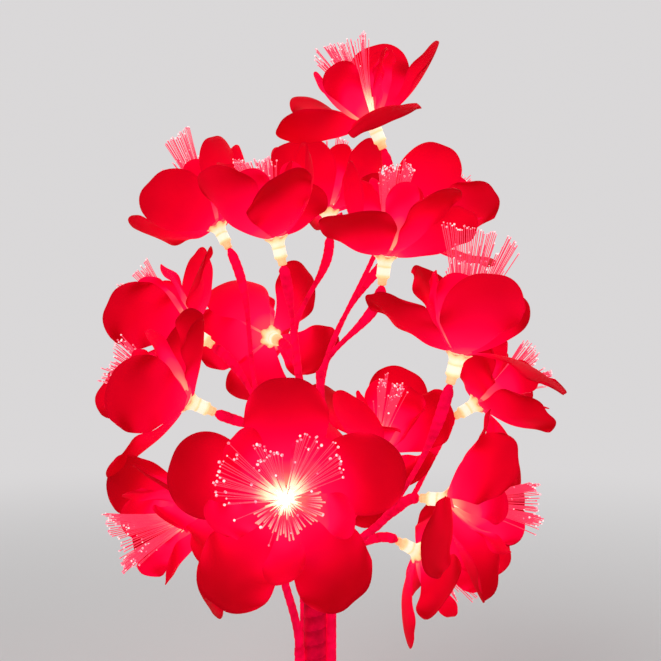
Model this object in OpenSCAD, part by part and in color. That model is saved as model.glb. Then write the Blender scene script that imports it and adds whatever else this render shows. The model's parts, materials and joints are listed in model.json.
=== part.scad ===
// Table lamp in the form of a small flowering tree. A weighted round base carries a taped trunk. Six
// soft-wire branches fork from it, and each flower stem ends in a lamp holder with a light emitting
// diode, a two-layer fabric blossom and a tuft of optical fibres. Millimetres, +Z up, the origin at the
// centre of the foot, the camera side of the lamp towards -Y.

/* [Base] */
// Diameter of the round base
base_d = 124; // [112:1:150]
// Height of the base, from the table to the top of its dome
base_h = 34; // [32:1:44]
// Radius of the dome
dome_r = 120; // [110:5:200]
// Radius of the rounded rim
rim_r = 8; // [5:0.5:10]
// Wall of the moulded base shell
base_wall = 2.4; // [1.8:0.1:3]
// Thickness of the foam foot
foot_t = 2; // [1.8:0.1:3]
// Thickness of the bottom plate
plate_t = 2; // [1.5:0.1:2.6]
// Thickness of the steel ballast ring
ballast_t = 7; // [4:0.5:8]
// Distance of the bottom screws from the centre
screw_ring = 51; // [47:0.5:52]
// Thread diameter of the bottom screws
screw_d = 3; // [2.5:0.5:3.5]

/* [Power] */
// Diameter of the push button
button_d = 14; // [10:1:16]
// Distance of the push button from the trunk axis
button_reach = 34; // [30:1:36]
// Height of the push button above the dome
button_proud = 2.4; // [2:0.1:4]
// Travel of the push button
button_travel = 1.5; // [1:0.1:1.6]
// Diameter of the plug hole in the power inlet
inlet_bore_d = 5.6; // [5.4:0.1:6.4]
// Diameter of the contact pin in the power inlet
inlet_pin_d = 2.1; // [1.7:0.1:2.5]

/* [Trunk] */
// Diameter of the taped trunk
trunk_d = 13.2; // [11:0.2:16]
// Bore of the trunk
trunk_bore = 7; // [5:0.5:7.5]
// Height of the trunk top above the table
trunk_top = 165; // [140:1:200]
// Diameter of the threaded foot of the trunk
thread_d = 10; // [9:0.5:10.5]
// Height above the table to which the root binding reaches
binding_top = 92; // [70:1:100]

/* [Branches] */
// Diameter of a branch stem where it leaves the trunk
stem_d = 5.4; // [4.4:0.2:6]
// Diameter of a branch stem at its fork
fork_d = 4.4; // [3.6:0.2:5]
// Diameter of a flower stem
sprig_d = 2.8; // [2.2:0.1:3.4]
// Diameter of the sleeve behind a lamp holder
sleeve_d = 4.2; // [3.4:0.1:4.8]
// Length of the sleeve behind a lamp holder
sleeve_len = 24; // [14:1:28]

/* [Lamp holder] */
// Diameter of the holder's barrel
holder_d = 7.6; // [6.8:0.1:8.4]
// Length of the holder behind the petals
holder_len = 17; // [15:0.5:20]
// Diameter of the flare that backs the petals
flare_d = 13.4; // [11:0.2:15]
// Diameter of the light emitting diode
led_d = 5; // [4:0.5:5]

/* [Blossom] */
// Length of an outer petal, from hub to tip
petal_length = 56; // [50:1:62]
// Width of an outer petal
petal_width = 42; // [34:1:44]
// Length of an inner petal
inner_length = 42; // [36:1:46]
// Width of an inner petal
inner_width = 22; // [18:1:24]
// Thickness of the stiffened petal fabric
petal_t = 0.6; // [0.4:0.1:0.8]
// Radius to which the outer petals are moulded
petal_cup = 50; // [46:1:70]
// Radius to which the inner petals are moulded
inner_cup = 42; // [38:1:60]
// Rise of the outer petals above the hub plane, in a half-open blossom
petal_rise = 56; // [54:1:58]
// Steeper rise of the inner petals
inner_steeper = 12; // [10:1:14]
// Turn of a petal about its length, which lets neighbours overlap
petal_turn = 16; // [14:1:20]
// Turn of an inner petal about its length
inner_turn = 24; // [20:1:28]

/* [Fibres] */
// Fibres in each tuft
fibres = 25; // [18:1:28]
// Length of the shortest fibres
fibre_len = 46; // [30:1:50]
// Width of a fibre
fibre_w = 0.9; // [0.7:0.1:1.1]

/* [Hidden] */
$fa = 4;
$fs = 0.6;

// Clearances: a seated face, a running fit, a slip fit, a ball in its cup, a screw in its hole, pieces that
// pass one another
seat_gap = 0.05;
run_gap = 0.08;
slip_gap = 0.1;
ball_gap = 0.15;
plate_gap = 0.2;
pass_gap = 0.3;

// Base levels and radii
base_r = base_d / 2;
dome_z = base_h - dome_r;
rim_x = base_r - rim_r;
rim_z = dome_z + sqrt(pow(dome_r - rim_r, 2) - rim_x * rim_x);
plate_top = foot_t + plate_t;
post_wall = 2.5;
post_r = screw_d / 2 + post_wall;
screw_angles = [30, 150, 270];
screw_reach = 6;
head_wall = 1.4;
head_r = screw_d / 2 + head_wall;
head_room = 0.4;
head_sunk = 0.5;
foot_margin = 3;
foot_rim = 1;
foot_r = max(base_r - foot_margin, screw_ring + head_r + head_room + foot_rim);
ballast_room = 2;
ballast_r = screw_ring - post_r - ballast_room;
wire_room = 9;
ballast_hole_r = thread_d / 2 + wire_room;
board_z = plate_top + ballast_t + seat_gap;
board_t = 1.6;
board_margin = 3;
board_lip = 1;
boss_wall = 6;
boss_r = thread_d / 2 + boss_wall;
boss_t = 5;
boss_z = base_h - boss_t;
nut_t = 4.5;
nut_wall = 3.5;
nut_r = thread_d / 2 + nut_wall;

// Push button levels
button_r = button_d / 2;
button_lip = 1.5;
lip_r = button_r + button_lip;
lip_top = dome_at(button_reach + lip_r, base_wall) - pass_gap;
lip_z = lip_top - button_lip;
button_top = dome_at(button_reach, 0) + button_proud;
switch_w = 12;
switch_z = board_z + board_t + seat_gap;
switch_top = lip_z - button_travel - pass_gap;
rod_r = 1.6;
rod_room = 0.5;
rod_z = switch_z + button_travel + rod_room;

// Power inlet, which points to the back. Its barrel stops short of the side wall, and where the dome is
// low, short of the dome
inlet_rise = 6;
inlet_z = plate_top + inlet_rise;
inlet_wall = 2.6;
inlet_r = inlet_bore_d / 2 + inlet_wall;
nose_wall = 1.1;
inlet_nose_r = inlet_bore_d / 2 + nose_wall;
inlet_room = 1;
inlet_back = ballast_r + inlet_room;
inlet_setback = 3;
inlet_top = inlet_z + inlet_r + pass_gap;
under_dome = sqrt(pow(dome_r - base_wall, 2) - pow(inlet_top - dome_z, 2));
inlet_front = min(base_r - base_wall - inlet_setback, under_dome);
nose_sunk = 0.4;
pin_short = 0.6;

// Trunk and roots
trunk_r = trunk_d / 2;
stem_r = stem_d / 2;
root_gap = 0.7;
ball_step = 0.3;
root_ring = trunk_r + stem_r + root_gap;
root_rise = 4;
root_z = base_h + root_rise;
binding_wall = 1.2;
binding_flare = 3;
thread_past = 2;
thread_z = boss_z - nut_t - thread_past;
trunk_cap = 19.5;
cup_wall = 0.6;

// Lamp holder, in its own frame: the petal seat at 0, the light along +Z
socket_deep = 4.5;
plug_d = sprig_d - slip_gap;
socket_r = plug_d / 2 + slip_gap;
tail_wall = 1.1;
stem_stop = 0.6;
plug_short = 0.4;
flare_h = 5.5;
neck_wall = 0.5;
neck_r = led_d / 2 + neck_wall;
led_deep = 7;
ring_in = neck_r + slip_gap;
hub_r = flare_d / 2 + slip_gap;
flare_room = 2;
inner_hub_wall = 2.2;
inner_hub_r = neck_r + inner_hub_wall;
hub_room = 6;
inner_seat = 2.2;
neck_proud = 0.6;
neck_top = inner_seat + petal_t + neck_proud;
ferrule_t = 1.5;
ferrule_wall = 0.8;
ferrule_r = neck_r + ferrule_wall;
fibre_sunk = 0.5;
claw = 2.4;
claw_room = 1.2;
claw_r = neck_r + claw_room;
petals = 5;

// A petal that rises less than this bends back, and no other leaves its hub flatter than the slope
back_below = 10;
least_slope = 4;

// Centres of the crown are spaced in steps that clear a petal's length
petal_room = 4;
step = petal_length + petal_room;
drop_step = 5;
fibre_step = 2;

// Branches: root azimuth, drop of the root below the trunk top in drop steps, 1 beside or 0 on top of the
// trunk, fork place in steps from the trunk top, heading of the lean
BRANCHES = [
    ["left", 130, 3, 1, [-0.6, 0.17, 1.67], 170],
    ["middle", 0, 0, 0, [-0.22, 0.17, 2.33], 90],
    ["top", 44, 1, 1, [0.05, -0.27, 1.92], 10],
    ["right", 0, 3, 1, [0.7, -0.4, 0.55], -20],
    ["back", 88, 5, 1, [0.17, 0.5, -0.12], 80],
    ["front", 205, 11.4, 1, [-0.3, -0.42, 0], -110]
];

// Blossoms: branch, seat in steps from the trunk top, tilt from upright, heading, extra opening, place on
// the branch stem where the flower stem starts, bow of the flower stem in steps, turn of the blossom about
// its own axis, further opening of each outer petal, and fibre steps beyond the shortest fibres
BLOSSOMS = [
    [0, [-1.07, 0.75, 3.45], 28, 170, 0, 0.98, [0, 0, 0], 0, [24, 20, 0, 0, 32], 8],
    [0, [-1.3, 0.42, 2.32], 55, 175, 0, 0.9, [0, 0, 0], 0, [26, 0, 32, 20, 0], 2],
    [0, [-1.17, -0.67, 1.67], 65, 195, 0, 0.73, [0, 0, 0], 0, [26, 0, 38, 26, 0], 2],
    [1, [-0.37, -0.3, 3.22], 15, 210, -5, 0.98, [0, 0, 0], 0, [0, 12, 0, 26, 0], 2],
    [1, [0.13, 0.9, 3.62], 15, 100, 4, 0.97, [0, 0, 0], 0, [38, 0, 20, 14, 0], 2],
    [1, [-0.5, 0.87, 2.25], 80, 115, 0, 0.8, [0, 0, 0], 0, [20, 0, 0, 26, 32], 1],
    [2, [0.57, -0.08, 4.38], 25, 200, 0, 0.9, [0, 0.43, 0], 0, [38, 66, 26, 0, 14], 2],
    [2, [0.67, -0.57, 3.02], 10, -50, -8, 0.98, [0, 0, 0], 0, [0, 26, 0, 0, 32], 2],
    [2, [1.03, 0.53, 3.35], 45, 15, -4, 0.95, [0, 0, 0], 0, [26, 0, 0, 6, 0], 2],
    [3, [1.27, -1.17, 2.12], 15, -20, 0, 0.98, [0, 0, 0], 0, [66, 0, 0, 32, 0], 8],
    [3, [1.7, 0.5, 1.55], 60, 5, 0, 0.97, [0.07, -0.1, -0.23], 0, [60, 0, 20, 38, 26], 2],
    [3, [1.27, -0.53, 0.72], 90, -20, 0, 0.9, [0, 0, 0], 0, [32, 0, 26, 0, 60], 3],
    [4, [1.08, 0.5, -0.02], 120, 20, 0, 0.9, [0, 0, 0], 0, [32, 0, 20, 0, 60], 0],
    [4, [0.65, 0.47, 1.08], 35, -75, -8, 0.98, [0, 0, 0], 0, [26, 0, 32, 32, 0], 2],
    [4, [-0.03, 1.07, 0.58], 85, 95, 0, 0.95, [0, 0, 0], 0, [32, 0, 26, 0, 38], 0],
    [5, [-0.2, -1.75, 0.95], 80, -93, 22, 0.98, [0, 0, 0], 36, [16, 12, 20, 14, 18], 0],
    [5, [-1, -0.83, 0.67], 105, 215, 0, 0.95, [0, 0, 0], 0, [32, 26, 0, 0, 20], 3]
];

function two(n) = n < 10 ? str("0", n) : str(n);
function blossom_name(i) = str("blossom_", two(i + 1));
function tuft_name(i) = str("light_tuft_", two(i + 1));
function stem_name(b) = str("stem_", BRANCHES[b][0]);
function holder_name(b) = str("lamp_holders_", BRANCHES[b][0]);

// Height of the dome, or of its inner face, at a distance from the axis
function dome_at(r, inset) = dome_z + sqrt(pow(dome_r - inset, 2) - r * r);

// Vectors and curves
function unit(v) = v / norm(v);
function bezier(p, t) = pow(1 - t, 3) * p[0] + 3 * t * pow(1 - t, 2) * p[1]
    + 3 * t * t * (1 - t) * p[2] + pow(t, 3) * p[3];
function bezier_dir(p, t) = unit(pow(1 - t, 2) * (p[1] - p[0]) + 2 * t * (1 - t) * (p[2] - p[1])
    + t * t * (p[3] - p[2]));

// Places in the crown
function pivot(b) = let (q = BRANCHES[b], r = root_ring * q[3])
    [r * cos(q[1]), r * sin(q[1]), trunk_top - drop_step * q[2]];
function fork(b) = [0, 0, trunk_top] + step * BRANCHES[b][4];
function seat(i) = [0, 0, trunk_top] + step * BLOSSOMS[i][1];
function facing(i) = let (a = BLOSSOMS[i][2], h = BLOSSOMS[i][3])
    [sin(a) * cos(h), sin(a) * sin(h), cos(a)];
function of_branch(b) = [for (i = [0 : len(BLOSSOMS) - 1]) if (BLOSSOMS[i][0] == b) i];

// Control points of a branch stem, from its pivot to its fork
function stem_curve(b) = let (p = pivot(b), q = fork(b), s = norm(q - p))
    [p, p + [0, 0, 0.4 * s], q - 0.35 * (q - p), q];

// Control points of a flower stem, from the branch stem to the back of the lamp holder
function sprig_curve(i) = let (
        b = BLOSSOMS[i][0],
        p = bezier(stem_curve(b), BLOSSOMS[i][5]),
        q = seat(i) - (holder_len + stem_stop) * facing(i),
        s = norm(q - p),
        bow = step * BLOSSOMS[i][6],
        out = unit(bezier_dir(stem_curve(b), BLOSSOMS[i][5]) + unit(q - p))
    )
    [p, p + 0.35 * s * out + bow, q - 0.35 * s * facing(i) + bow, q];

// Eight-sided tube through points, along directions, with a radius at each point
module tube(points, dirs, radii) {
    sides = 8;
    last = len(points) - 1;
    bend = cross(dirs[0], dirs[last]);
    axis = norm(bend) > 0.05 ? bend : cross(dirs[0], abs(dirs[0][0]) < 0.8 ? [1, 0, 0] : [0, 1, 0]);
    skin = [for (i = [0 : last])
        let (u = unit(cross(dirs[i], axis)), v = cross(dirs[i], u))
        for (k = [0 : sides - 1])
            points[i] + radii[i] * (u * cos(360 * k / sides) + v * sin(360 * k / sides))];
    wall = [for (i = [0 : last - 1]) for (k = [0 : sides - 1])
        let (a = i * sides + k, b = i * sides + (k + 1) % sides)
        each [[a, a + sides, b], [b, a + sides, b + sides]]];
    foot = [for (k = [1 : sides - 2]) [0, k, k + 1]];
    top = [for (k = [1 : sides - 2]) [last * sides, last * sides + k + 1, last * sides + k]];
    polyhedron(skin, concat(foot, wall, top));
}

// Taped branch stem, tapered from the trunk to its fork
module branch_stem(b) {
    rings = 10;
    p = stem_curve(b);
    ts = [for (i = [0 : rings]) i / rings];
    tube([for (t = ts) bezier(p, t)], [for (t = ts) bezier_dir(p, t)],
         [for (t = ts) stem_r - ball_step + (fork_d / 2 - stem_r + ball_step) * t]);
}

// Flower stem, with a thicker sleeve before the holder and a bare plug in the holder's socket
module sprig(i) {
    p = sprig_curve(i);
    arc = 1.08;
    swell = 0.4;
    s = arc * norm(p[3] - p[0]);
    sleeve_t = max(0.2, 1 - sleeve_len / s);
    steps = [[0, sprig_d / 2 + swell], [0.12, sprig_d / 2], [sleeve_t - 0.08, sprig_d / 2],
             [sleeve_t, sleeve_d / 2], [0.96, sleeve_d / 2], [1, plug_d / 2]];
    ts = [0, 0.06, 0.14, 0.24, 0.34, 0.44, 0.54, 0.64, 0.74, 0.84, 0.93, 0.98, 1];
    end = p[3] + (stem_stop + socket_deep - plug_short) * facing(i);
    tube(concat([for (t = ts) bezier(p, t)], [end]),
         concat([for (t = ts) bezier_dir(p, t)], [facing(i)]),
         concat([for (t = ts) lookup(t, steps)], [plug_d / 2]));
}

module stem(b) {
    color("firebrick") {
        translate(pivot(b)) sphere(r = stem_r);
        branch_stem(b);
        for (i = of_branch(b)) sprig(i);
    }
}

// Frame of one blossom: the petal seat at the origin, the light along +Z
module placed(i) {
    translate(seat(i)) rotate([0, BLOSSOMS[i][2], BLOSSOMS[i][3]]) children();
}

// Translucent lamp holder: socket for the stem, barrel, flare behind the petals and neck
module lamp_holder() {
    tail_r = socket_r + tail_wall;
    barrel_r = holder_d / 2;
    flare_r = flare_d / 2;
    shoulder = -holder_len + socket_deep;
    flare_z = -flare_h;
    difference() {
        rotate_extrude()
            polygon([[0, -holder_len], [tail_r, -holder_len], [tail_r + 0.2, shoulder - 0.8],
                     [barrel_r - 0.4, shoulder], [barrel_r, shoulder + 0.6], [barrel_r, flare_z],
                     [barrel_r + 0.5, flare_z + 2.2], [barrel_r + 1.4, flare_z + 3.8],
                     [flare_r, -0.7], [flare_r, -seat_gap], [neck_r, -seat_gap],
                     [neck_r, neck_top], [0, neck_top]]);
        translate([0, 0, -holder_len - 1]) cylinder(r = socket_r, h = socket_deep + 1);
        translate([0, 0, -led_deep - seat_gap]) cylinder(r = led_d / 2 + run_gap, h = holder_len);
    }
}

module lamp_holders(b) {
    color("ivory") for (i = of_branch(b)) placed(i) lamp_holder();
}

// Flat outline of a petal: a round blade on a narrow claw, its tip at +len/2
module petal_outline(len, wid) {
    r = wid / 2;
    mid = len / 2 - r;
    reach = mid + len / 2;
    slope = asin(r / norm([reach, claw])) - atan(claw / reach);
    blade = [mid - r * sin(slope), r * cos(slope)];
    translate([mid, 0]) circle(r = r);
    polygon([[-len / 2, -claw], [blade[0], -blade[1]], blade, [-len / 2, claw]]);
}

// One petal, a patch of a thin sphere that rises from the hub and is turned about its length. A wide open
// one is flatter, and one bent back has its hollow side below
module petal(len, wid, rise, cup, turn) {
    back = rise < back_below;
    bend = back ? cup : max(cup, len / 2 / sin(rise - least_slope));
    sink = sqrt(bend * bend - len * len / 4);
    translate([claw_r, 0, petal_t / 2]) rotate([0, -rise, 0]) translate([len / 2, 0, 0])
        rotate([back ? 180 : turn, 0, 0]) intersection() {
            translate([0, 0, sink]) difference() {
                sphere(r = bend + petal_t / 2);
                sphere(r = bend - petal_t / 2);
            }
            translate([0, 0, sink - bend - 2]) linear_extrude(0.6 * bend) petal_outline(len, wid);
        }
}

// One layer: a hub disc that slips over the holder's neck, and five petals glued round it
module petal_layer(len, wid, rises, cup, turn, rim, hub) {
    difference() {
        cylinder(r = rim, h = hub);
        translate([0, 0, -1]) cylinder(r = ring_in, h = hub + 2);
    }
    for (k = [0 : petals - 1]) difference() {
        rotate([0, 0, 360 * k / petals]) petal(len, wid, rises[k], cup, turn);
        translate([0, 0, -hub_room]) cylinder(r = rim + seat_gap, h = 2 * hub_room);
        translate([0, 0, -hub_room]) cylinder(r = hub_r + flare_room, h = hub_room);
    }
}

// Blossom: the outer layer, and the inner layer on its hub, half a petal round
module blossom(i) {
    rise = petal_rise - BLOSSOMS[i][4];
    outer = [for (more = BLOSSOMS[i][8]) rise - more];
    inner = [for (k = [1 : petals]) rise + inner_steeper];
    color("crimson") placed(i) rotate([0, 0, BLOSSOMS[i][7]]) {
        petal_layer(petal_length, petal_width, outer, petal_cup, petal_turn, hub_r, inner_seat - seat_gap);
        translate([0, 0, inner_seat]) rotate([0, 0, 180 / petals])
            petal_layer(inner_length, inner_width, inner, inner_cup, inner_turn,
                        inner_hub_r, neck_top - inner_seat);
    }
}

// One three-sided fibre through three points, its glowing tip a little wider
module fibre(path) {
    r = fibre_w / 2;
    radii = [r, r, 1.3 * r];
    skin = concat(
        [for (i = [0 : 2]) for (k = [0 : 2]) path[i] + radii[i] * [cos(120 * k), sin(120 * k), 0]],
        [path[2] + [0, 0, fibre_w]]);
    wall = [for (i = [0 : 1]) for (k = [0 : 2])
        let (a = 3 * i + k, b = 3 * i + (k + 1) % 3)
        each [[a, a + 3, b], [b, a + 3, b + 3]]];
    tip = [for (k = [0 : 2]) [6 + k, 9, 6 + (k + 1) % 3]];
    polyhedron(skin, concat([[0, 1, 2]], wall, tip));
}

// Light tuft: the diode, the ferrule on the neck and the fibres that fan out of it
module light_tuft(i) {
    golden = 137.5;
    half_fan = 0.09;
    fan = 0.24;
    ferrule_z = neck_top + seat_gap;
    root = ferrule_z + ferrule_t - fibre_sunk;
    spread_r = ferrule_r - fibre_w;
    length = fibre_len + fibre_step * BLOSSOMS[i][9];
    color("mistyrose") placed(i) {
        translate([0, 0, -led_deep]) cylinder(r = led_d / 2, h = led_deep + ferrule_z + fibre_sunk);
        translate([0, 0, ferrule_z]) cylinder(r = ferrule_r, h = ferrule_t);
        for (k = [0 : fibres - 1]) {
            share = sqrt((k + 0.5) / fibres);
            out = [cos(golden * k), sin(golden * k), 0];
            up = [0, 0, length];
            base = [0, 0, root] + spread_r * share * out;
            fibre([base, base + 0.5 * up + half_fan * length * share * out,
                   base + up + fan * length * share * out]);
        }
    }
}

// Half section of the base, inset by a wall, from a level up
module base_profile(inset, low) {
    past = 1.3;
    intersection() {
        translate([0, dome_z]) circle(r = dome_r - inset);
        polygon([[0, low], [rim_x, low], [rim_x, rim_z],
                 [past * rim_x, dome_z + past * (rim_z - dome_z)], [0, dome_z + past * dome_r]]);
    }
    intersection() {
        translate([rim_x, rim_z]) circle(r = rim_r - inset);
        translate([0, low]) square([base_d, base_h]);
    }
    translate([0, low]) square([base_r - inset, rim_z - low]);
}

module at_screws() {
    for (a = screw_angles) rotate([0, 0, a]) translate([screw_ring, 0, 0]) children();
}

module foot_pad() {
    color("dimgray") difference() {
        cylinder(r = foot_r, h = foot_t - seat_gap);
        at_screws() translate([0, 0, -1]) cylinder(r = head_r + head_room, h = foot_t + 2);
    }
}

module base_plate() {
    color("gray") translate([0, 0, foot_t]) difference() {
        cylinder(r = base_r - base_wall - plate_gap, h = plate_t);
        at_screws() translate([0, 0, -1]) cylinder(r = screw_d / 2 + plate_gap, h = plate_t + 2);
    }
}

module base_screws() {
    head_top = foot_t - seat_gap;
    color("silver") at_screws() {
        translate([0, 0, head_sunk]) cylinder(r = head_r, h = head_top - head_sunk);
        translate([0, 0, head_top - plate_gap]) cylinder(r = screw_d / 2, h = plate_t + screw_reach);
    }
}

module ballast_ring() {
    color("slategray") translate([0, 0, plate_top + seat_gap]) difference() {
        cylinder(r = ballast_r, h = ballast_t - seat_gap);
        translate([0, 0, -1]) cylinder(r = ballast_hole_r, h = ballast_t + 2);
    }
}

module base_shell() {
    color("black") difference() {
        union() {
            difference() {
                rotate_extrude() base_profile(0, foot_t);
                rotate_extrude() base_profile(base_wall, 0);
            }
            intersection() {
                union() {
                    translate([0, 0, boss_z]) cylinder(r = boss_r, h = base_h);
                    at_screws() translate([0, 0, plate_top + seat_gap]) cylinder(r = post_r, h = base_h);
                }
                rotate_extrude() base_profile(base_wall / 2, 0);
            }
        }
        cylinder(r = thread_d / 2 + run_gap, h = base_h + 1);
        at_screws() cylinder(r = screw_d / 2 + seat_gap, h = plate_top + screw_reach + 2);
        translate([0, -button_reach, base_h / 2]) cylinder(r = button_r + run_gap, h = base_h);
        translate([0, inlet_back, inlet_z]) rotate([-90, 0, 0])
            cylinder(r = inlet_nose_r + seat_gap, h = base_r);
    }
}

module circuit_board() {
    color("darkgreen") translate([0, 0, board_z]) difference() {
        cylinder(r = ballast_r - board_margin, h = board_t);
        translate([0, 0, -1]) cylinder(r = ballast_hole_r - board_lip, h = board_t + 2);
    }
}

module power_switch() {
    color("darkslategray") translate([0, -button_reach, switch_z]) difference() {
        translate([-switch_w / 2, -switch_w / 2, 0]) cube([switch_w, switch_w, switch_top - switch_z]);
        translate([0, 0, pass_gap]) cylinder(r = rod_r + run_gap, h = base_h);
    }
}

module power_button() {
    crown_r = 3 * button_r;
    color("firebrick") translate([0, -button_reach, 0]) {
        translate([0, 0, rod_z]) cylinder(r = rod_r, h = lip_z - rod_z + button_lip / 2);
        translate([0, 0, lip_z]) cylinder(r = lip_r, h = button_lip);
        intersection() {
            translate([0, 0, lip_z]) cylinder(r = button_r, h = base_h);
            translate([0, 0, button_top - crown_r]) sphere(r = crown_r);
        }
    }
}

// Panel socket for a plug: its barrel inside the shell, its nose in the wall, a contact pin in its bore
module power_inlet() {
    nose = base_r - inlet_back - nose_sunk;
    front = inlet_front - inlet_back;
    pin_r = inlet_pin_d / 2;
    bore_r = inlet_bore_d / 2;
    bottom = 2.5;
    color("dimgray") translate([0, inlet_back, inlet_z]) rotate([-90, 0, 0]) {
        rotate_extrude()
            polygon([[pin_r, bottom], [pin_r, nose - 2 * pin_short], [0, nose - pin_short], [0, 0],
                     [inlet_r, 0], [inlet_r, front], [inlet_nose_r, front],
                     [inlet_nose_r, nose], [bore_r, nose], [bore_r, bottom]]);
    }
}

module trunk_nut() {
    color("silver") translate([0, 0, boss_z - seat_gap - nut_t]) difference() {
        cylinder(r = nut_r, h = nut_t, $fn = 6);
        translate([0, 0, -1]) cylinder(r = thread_d / 2 + seat_gap, h = nut_t + 2);
    }
}

module trunk() {
    column_z = base_h + seat_gap;
    cone_h = trunk_r - stem_r;
    cone_z = trunk_top - 0.6 * stem_r - cone_h;
    color("firebrick") difference() {
        union() {
            translate([0, 0, thread_z]) cylinder(r = thread_d / 2, h = base_h);
            translate([0, 0, column_z]) cylinder(r = trunk_r, h = cone_z - column_z);
            translate([0, 0, cone_z]) cylinder(r1 = trunk_r, r2 = stem_r + cup_wall, h = cone_h);
        }
        translate([0, 0, thread_z - 1]) cylinder(r = trunk_bore / 2, h = cone_z - trunk_cap - thread_z + 1);
        translate([0, 0, trunk_top]) sphere(r = stem_r + ball_gap);
    }
}

module at_roots() {
    for (b = [0 : len(BRANCHES) - 1])
        if (BRANCHES[b][3] == 1) {
            $pivot = pivot(b);
            translate([$pivot[0], $pivot[1], 0]) children();
        }
}

module root_binding() {
    outer_r = root_ring + stem_r + binding_wall;
    color("firebrick") difference() {
        translate([0, 0, base_h / 2])
            cylinder(r1 = outer_r + binding_flare, r2 = outer_r, h = binding_top - base_h / 2);
        translate([0, 0, dome_z]) sphere(r = dome_r + seat_gap);
        cylinder(r = trunk_r + seat_gap, h = trunk_top);
        at_roots() cylinder(r = stem_r + seat_gap, h = trunk_top);
    }
}

module stem_roots() {
    color("firebrick") at_roots() difference() {
        translate([0, 0, root_z]) cylinder(r = stem_r, h = $pivot[2] - root_z);
        translate([0, 0, $pivot[2]]) sphere(r = stem_r + ball_gap);
    }
}

foot_pad();
base_plate();
base_screws();
ballast_ring();
base_shell();
circuit_board();
power_switch();
power_button();
power_inlet();
trunk_nut();
trunk();
root_binding();
stem_roots();
for (b = [0 : len(BRANCHES) - 1]) stem(b);
for (b = [0 : len(BRANCHES) - 1]) lamp_holders(b);
for (i = [0 : len(BLOSSOMS) - 1]) blossom(i);
for (i = [0 : len(BLOSSOMS) - 1]) light_tuft(i);
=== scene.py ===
"""Looks of a table lamp in the form of a small flowering tree: a weighted base, a taped trunk, taped
soft-wire branches and lit fabric blossoms with tufts of optical fibres. Metres, +Z up, the viewer's side
towards -Y."""
import json
import math
import random
from collections import namedtuple

import bmesh
import bpy
from mathutils import Matrix, Vector
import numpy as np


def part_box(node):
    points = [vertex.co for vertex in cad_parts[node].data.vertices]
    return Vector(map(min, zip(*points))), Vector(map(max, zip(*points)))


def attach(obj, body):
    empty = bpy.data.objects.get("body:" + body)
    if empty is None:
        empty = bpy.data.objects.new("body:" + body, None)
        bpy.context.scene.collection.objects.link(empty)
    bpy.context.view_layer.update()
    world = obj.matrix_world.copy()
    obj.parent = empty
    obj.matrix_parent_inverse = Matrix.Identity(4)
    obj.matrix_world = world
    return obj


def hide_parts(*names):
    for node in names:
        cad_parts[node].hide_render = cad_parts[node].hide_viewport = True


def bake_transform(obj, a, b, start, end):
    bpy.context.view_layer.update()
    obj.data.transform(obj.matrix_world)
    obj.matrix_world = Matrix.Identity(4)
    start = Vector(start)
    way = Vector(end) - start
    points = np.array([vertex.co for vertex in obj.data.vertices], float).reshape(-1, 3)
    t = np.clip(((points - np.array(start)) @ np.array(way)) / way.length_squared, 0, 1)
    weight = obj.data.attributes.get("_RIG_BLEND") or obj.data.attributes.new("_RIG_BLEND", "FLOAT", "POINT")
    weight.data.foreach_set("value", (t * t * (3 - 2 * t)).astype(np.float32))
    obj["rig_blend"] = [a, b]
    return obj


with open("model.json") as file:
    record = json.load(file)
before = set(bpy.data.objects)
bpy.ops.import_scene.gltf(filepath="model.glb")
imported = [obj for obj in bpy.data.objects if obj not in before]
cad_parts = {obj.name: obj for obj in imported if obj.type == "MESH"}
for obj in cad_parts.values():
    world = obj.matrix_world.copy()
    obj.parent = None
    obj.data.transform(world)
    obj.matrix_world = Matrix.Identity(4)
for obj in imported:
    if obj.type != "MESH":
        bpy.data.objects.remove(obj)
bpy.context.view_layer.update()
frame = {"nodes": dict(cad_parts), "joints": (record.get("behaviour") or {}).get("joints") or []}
nodes = frame["nodes"]
scene = bpy.context.scene

# Sizes of the construction, in metres and degrees
MM = 0.001
TINY = 1e-6
TRUNK_TOP = 0.165
STEP = 0.060
STEM_R = 0.0027
FORK_R = 0.0022
SPRIG_R = 0.0014
SLEEVE_R = 0.0021
SLEEVE_LEN = 0.024
HOLDER_LEN = 0.017
CLAW = 0.0024
CLAW_R = 0.0042
PETAL_T = 0.0006
HUB_IN = 0.0031
INNER_SEAT = 0.0022
PETAL_RISE = 56
INNER_STEEPER = 12
BACK_BELOW = 10
LEAST_SLOPE = 4
PETALS = 5
FERRULE_TOP = 0.0049

# A flower with at least this extra opening is open. Its outer petals bend back less and shine more
OPEN_FLOWER = 10
OPEN_BEND = 0.4
OPEN_GLOW = 1.3
CUPPED_GLOW = 0.93

# Light on a petal: the share that an edge-on patch gets, the sine from which a patch is fully lit, and the
# distance at which half of the light is left
EDGE_ON_LIGHT = 0.52
FULLY_FACING = 0.65
HALF_LIGHT = 0.037

# Forms of a petal as shares: fold radius of its width, start and end of its tip, width of the notch, and run
# of the bend of its length
CREASE = 0.08
TIP_FROM, TIP_TO = 0.45, 1.1
NOTCH_WIDE = 0.32
BEND_RUN = 0.3

# Windings of tape: pitch and depth of a lap
TRUNK_LAP = (0.0085, 0.0004)
BINDING_LAP = (0.0105, 0.0005)
ROOT_LAP = (0.006, 0.00022)
STEM_LAP = (0.0062, 0.00032)
SPRIG_LAP = (0.0048, 0.00022)
SLEEVE_LAP = (0.0055, 0.0003)

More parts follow.
